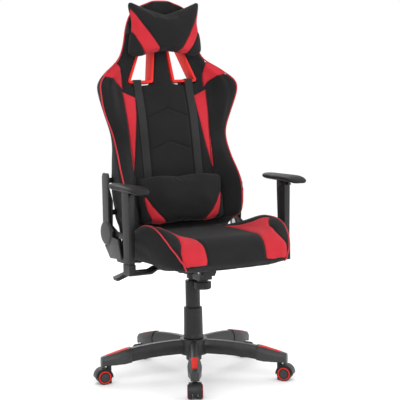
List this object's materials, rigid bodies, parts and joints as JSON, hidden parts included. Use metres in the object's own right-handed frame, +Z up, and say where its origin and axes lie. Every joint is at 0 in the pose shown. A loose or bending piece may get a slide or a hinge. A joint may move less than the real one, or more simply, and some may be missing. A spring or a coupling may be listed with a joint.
{
  "type": "gaming chair",
  "caption": "High-backed bucket-style office gaming chair on a caster base, with head and lumbar pillows, reclining back and adjustable arms.",
  "frame": {"origin": "on the floor under the seat's swivel axis", "axes": "+Z up; the seat faces -Y; the sitter's right is -X"},
  "size_m": [0.6932, 0.6783, 1.3057],
  "materials": {
    "back_fabric": "woven polyester, black with red panels",
    "seat_fabric": "woven polyester, black with red panels",
    "pillow_fabric": "woven polyester, black with red panels",
    "strap_webbing": "elastic webbing, dark grey",
    "red_plastic": "satin moulded red",
    "black_nylon": "fine moulded grain",
    "grey_nylon": "satin moulded, dark grey",
    "pad_rubber": "soft polyurethane skin",
    "black_steel": "black powder coat",
    "bright_steel": "zinc plated",
    "wheel_tread": "black polyurethane tread"
  },
  "bodies": {
    "base": {"base_star": "black_nylon", "tip_caps": "grey_nylon", "leg_inserts": "red_plastic", "column_tube": "black_steel", "column_guide": "grey_nylon", "lower_sleeve": "black_nylon"},
    "rod": {"piston_rod": "bright_steel", "thrust_bearing": "bright_steel"},
    "carriage": {"gas_cylinder": "black_steel", "upper_sleeve": "black_nylon", "mechanism_housing": "black_steel", "tilt_pin": "bright_steel", "tension_spring": "bright_steel"},
    "valve": {"valve_pin": "bright_steel"},
    "lift_lever": {"lift_lever": "black_steel", "lever_paddle": "black_nylon"},
    "knob": {"tension_knob": "black_nylon", "tension_bolt": "bright_steel"},
    "seat": {"seat_plate": "black_steel", "seat_frame": "black_steel", "seat_webbing": "strap_webbing", "seat_cushion": "seat_fabric", "frame_bolts": "bright_steel", "side_plates": "black_steel", "hinge_cover_right": "black_nylon", "recline_pins": "bright_steel", "arm_bracket_right": "black_steel", "arm_bracket_left": "black_steel"},
    "recline_lever": {"recline_lever": "black_nylon"},
    "back": {"back_frame": "black_steel", "back_cushion": "back_fabric", "window_rims": "red_plastic", "back_cover_right": "black_nylon", "hinge_cap_left": "black_nylon", "lumbar_straps": "strap_webbing", "head_pillow": "pillow_fabric", "head_strap": "strap_webbing"},
    "lumbar": {"lumbar_pillow": "pillow_fabric"},
    "arm_right": {"arm_post_right": "black_nylon", "arm_pad_right": "pad_rubber"},
    "arm_left": {"arm_post_left": "black_nylon", "arm_pad_left": "pad_rubber"},
    "trigger_right": {"arm_trigger_right": "black_nylon"},
    "trigger_left": {"arm_trigger_left": "black_nylon"},
    "caster_1": {"caster_1_hood": "black_nylon", "caster_1_stem": "bright_steel"},
    "wheels_1": {"caster_1_wheels": "wheel_tread"},
    "caster_2": {"caster_2_hood": "black_nylon", "caster_2_stem": "bright_steel"},
    "wheels_2": {"caster_2_wheels": "wheel_tread"},
    "caster_3": {"caster_3_hood": "black_nylon", "caster_3_stem": "bright_steel"},
    "wheels_3": {"caster_3_wheels": "wheel_tread"},
    "caster_4": {"caster_4_hood": "black_nylon", "caster_4_stem": "bright_steel"},
    "wheels_4": {"caster_4_wheels": "wheel_tread"},
    "caster_5": {"caster_5_hood": "black_nylon", "caster_5_stem": "bright_steel"},
    "wheels_5": {"caster_5_wheels": "wheel_tread"}
  },
  "joints": [
    {"name": "seat_swivel", "type": "hinge", "parent": "base", "child": "rod", "pos_m": [0, 0, 0.06], "axis": [0, 0, 1], "continuous": true},
    {"name": "seat_height", "type": "slide", "parent": "rod", "child": "carriage", "axis": [0, 0, 1], "range_m": [-0.06, 0.04]},
    {"name": "valve_press", "type": "slide", "parent": "carriage", "child": "valve", "axis": [0, 0, -1], "range_m": [0, 0.0036], "stiffness_N_per_m": 900, "springref_m": -0.004},
    {"name": "lift_lever_pull", "type": "hinge", "parent": "carriage", "child": "lift_lever", "pos_m": [-0.05, -0.004, 0.3861], "axis": [0, 1, 0], "range_deg": [0, 4], "stiffness_Nm_per_rad": 14, "springref_deg": -4.58},
    {"name": "tension_knob_turn", "type": "hinge", "parent": "carriage", "child": "knob", "pos_m": [0, -0.072, 0.326], "axis": [0, 0, 1], "range_deg": [-540, 540]},
    {"name": "seat_tilt", "type": "hinge", "parent": "carriage", "child": "seat", "pos_m": [0, -0.102, 0.378], "axis": [-1, 0, 0], "range_deg": [0, 8], "stiffness_Nm_per_rad": 500, "springref_deg": -11.46, "deforming": ["tension_spring"]},
    {"name": "recline_release", "type": "hinge", "parent": "seat", "child": "recline_lever", "pos_m": [-0.252, 0.125, 0.506], "axis": [-1, 0, 0], "range_deg": [0, 20], "stiffness_Nm_per_rad": 1.5, "springref_deg": -17.19},
    {"name": "back_recline", "type": "hinge", "parent": "seat", "child": "back", "pos_m": [0, 0.125, 0.506], "axis": [-1, 0, 0], "range_deg": [0, 48]},
    {"name": "lumbar_height", "type": "slide", "parent": "back", "child": "lumbar", "axis": [0, 0.1392, 0.9903], "range_m": [0, 0.08]},
    {"name": "arm_height_right", "type": "slide", "parent": "seat", "child": "arm_right", "axis": [0, 0, 1], "range_m": [0, 0.07]},
    {"name": "arm_height_left", "type": "slide", "parent": "seat", "child": "arm_left", "axis": [0, 0, 1], "range_m": [0, 0.07]},
    {"name": "trigger_right_press", "type": "slide", "parent": "arm_right", "child": "trigger_right", "axis": [0, 1, 0], "range_m": [0, 0.004], "stiffness_N_per_m": 300, "springref_m": -0.004},
    {"name": "trigger_left_press", "type": "slide", "parent": "arm_left", "child": "trigger_left", "axis": [0, 1, 0], "range_m": [0, 0.004], "stiffness_N_per_m": 300, "springref_m": -0.004},
    {"name": "caster_1_swivel", "type": "hinge", "parent": "base", "child": "caster_1", "pos_m": [-0.14648, -0.26866, 0.06], "axis": [0, 0, 1], "continuous": true},
    {"name": "wheels_1_roll", "type": "hinge", "parent": "caster_1", "child": "wheels_1", "pos_m": [-0.15605, -0.28622, 0.025], "axis": [0.878, -0.4787, 0], "continuous": true},
    {"name": "caster_2_swivel", "type": "hinge", "parent": "base", "child": "caster_2", "pos_m": [0.21025, -0.22233, 0.06], "axis": [0, 0, 1], "continuous": true},
    {"name": "wheels_2_roll", "type": "hinge", "parent": "caster_2", "child": "wheels_2", "pos_m": [0.22399, -0.23686, 0.025], "axis": [0.7266, 0.6871, 0], "continuous": true},
    {"name": "caster_3_swivel", "type": "hinge", "parent": "base", "child": "caster_3", "pos_m": [0.27642, 0.13125, 0.06], "axis": [0, 0, 1], "continuous": true},
    {"name": "wheels_3_roll", "type": "hinge", "parent": "caster_3", "child": "wheels_3", "pos_m": [0.29449, 0.13983, 0.025], "axis": [-0.4289, 0.9033, 0], "continuous": true},
    {"name": "caster_4_swivel", "type": "hinge", "parent": "base", "child": "caster_4", "pos_m": [-0.03941, 0.30345, 0.06], "axis": [0, 0, 1], "continuous": true},
    {"name": "wheels_4_roll", "type": "hinge", "parent": "caster_4", "child": "wheels_4", "pos_m": [-0.04199, 0.32328, 0.025], "axis": [-0.9917, -0.1288, 0], "continuous": true},
    {"name": "caster_5_swivel", "type": "hinge", "parent": "base", "child": "caster_5", "pos_m": [-0.30078, 0.05629, 0.06], "axis": [0, 0, 1], "continuous": true},
    {"name": "wheels_5_roll", "type": "hinge", "parent": "caster_5", "child": "wheels_5", "pos_m": [-0.32044, 0.05997, 0.025], "axis": [-0.184, -0.9829, 0], "continuous": true}
  ],
  "couplings": [
    {"joint": "valve_press", "follows": "lift_lever_pull", "m_per_rad": 0.05}
  ]
}
